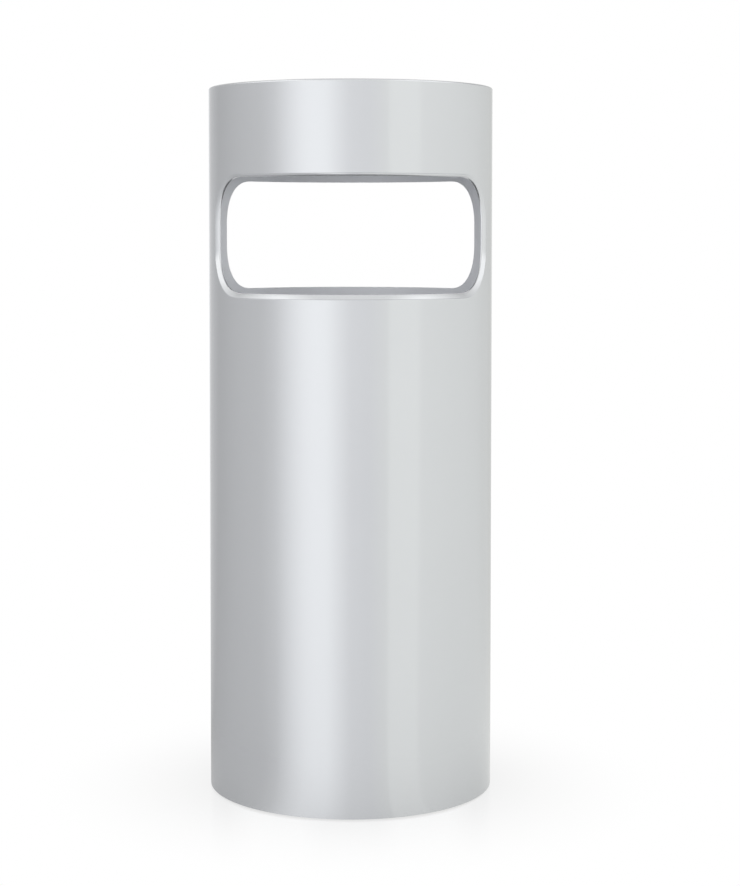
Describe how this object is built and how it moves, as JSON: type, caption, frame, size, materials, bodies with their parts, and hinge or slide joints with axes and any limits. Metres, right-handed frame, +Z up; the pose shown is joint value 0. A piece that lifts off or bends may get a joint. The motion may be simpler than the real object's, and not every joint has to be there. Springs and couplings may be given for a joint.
{
  "type": "ashtray bin",
  "caption": "Free-standing round ashtray bin: a silver tube with wide rounded windows front and back, an ashtray with a stub grid in its top and a lift-out bucket on a weighted base.",
  "frame": {"origin": "on the floor, at the axis of the tube", "axes": "+Z up along the axis of the tube; the windows face -Y, the front, and +Y; the pivot of the bail runs along X"},
  "size_m": [0.25, 0.25, 0.618],
  "materials": {
    "silver_shell": "satin metallic silver",
    "soft_seal": "matt",
    "stainless": "brushed",
    "black_plastic": "fine moulded texture",
    "zinc_steel": "bright zinc",
    "galvanised": "spangled zinc",
    "base_plastic": "fine moulded texture",
    "ballast_steel": "matt paint",
    "foot_rubber": "matt"
  },
  "bodies": {
    "base": {"base_plate": "base_plastic", "ballast_disc": "ballast_steel", "ballast_screws": "zinc_steel", "foot_1": "foot_rubber", "foot_2": "foot_rubber", "foot_3": "foot_rubber", "foot_4": "foot_rubber"},
    "shell": {"shell": "silver_shell", "ledge_gasket": "soft_seal"},
    "ashtray": {"ash_bowl": "stainless"},
    "grid": {"stub_grid": "stainless", "grid_knob": "black_plastic", "knob_washer": "zinc_steel", "knob_screw": "zinc_steel"},
    "bucket": {"bucket": "galvanised", "bucket_floor": "galvanised", "ear_left": "galvanised", "ear_right": "galvanised", "ear_rivets": "zinc_steel"},
    "bail": {"bail_wire": "zinc_steel", "bail_grip": "black_plastic"}
  },
  "joints": [
    {"name": "shell_lift", "type": "slide", "parent": "base", "child": "shell", "axis": [0, 0, 1], "range_m": [0, 0.45]},
    {"name": "ashtray_lift", "type": "slide", "parent": "shell", "child": "ashtray", "axis": [0, 0, 1], "range_m": [0, 0.1]},
    {"name": "grid_lift", "type": "slide", "parent": "ashtray", "child": "grid", "axis": [0, 0, 1], "range_m": [0, 0.06]},
    {"name": "bucket_lift", "type": "slide", "parent": "base", "child": "bucket", "axis": [0, 0, 1], "range_m": [0, 0.05]},
    {"name": "bail_swing", "type": "hinge", "parent": "bucket", "child": "bail", "pos_m": [0, 0, 0.3768], "axis": [1, 0, 0], "range_deg": [0, 180]}
  ]
}
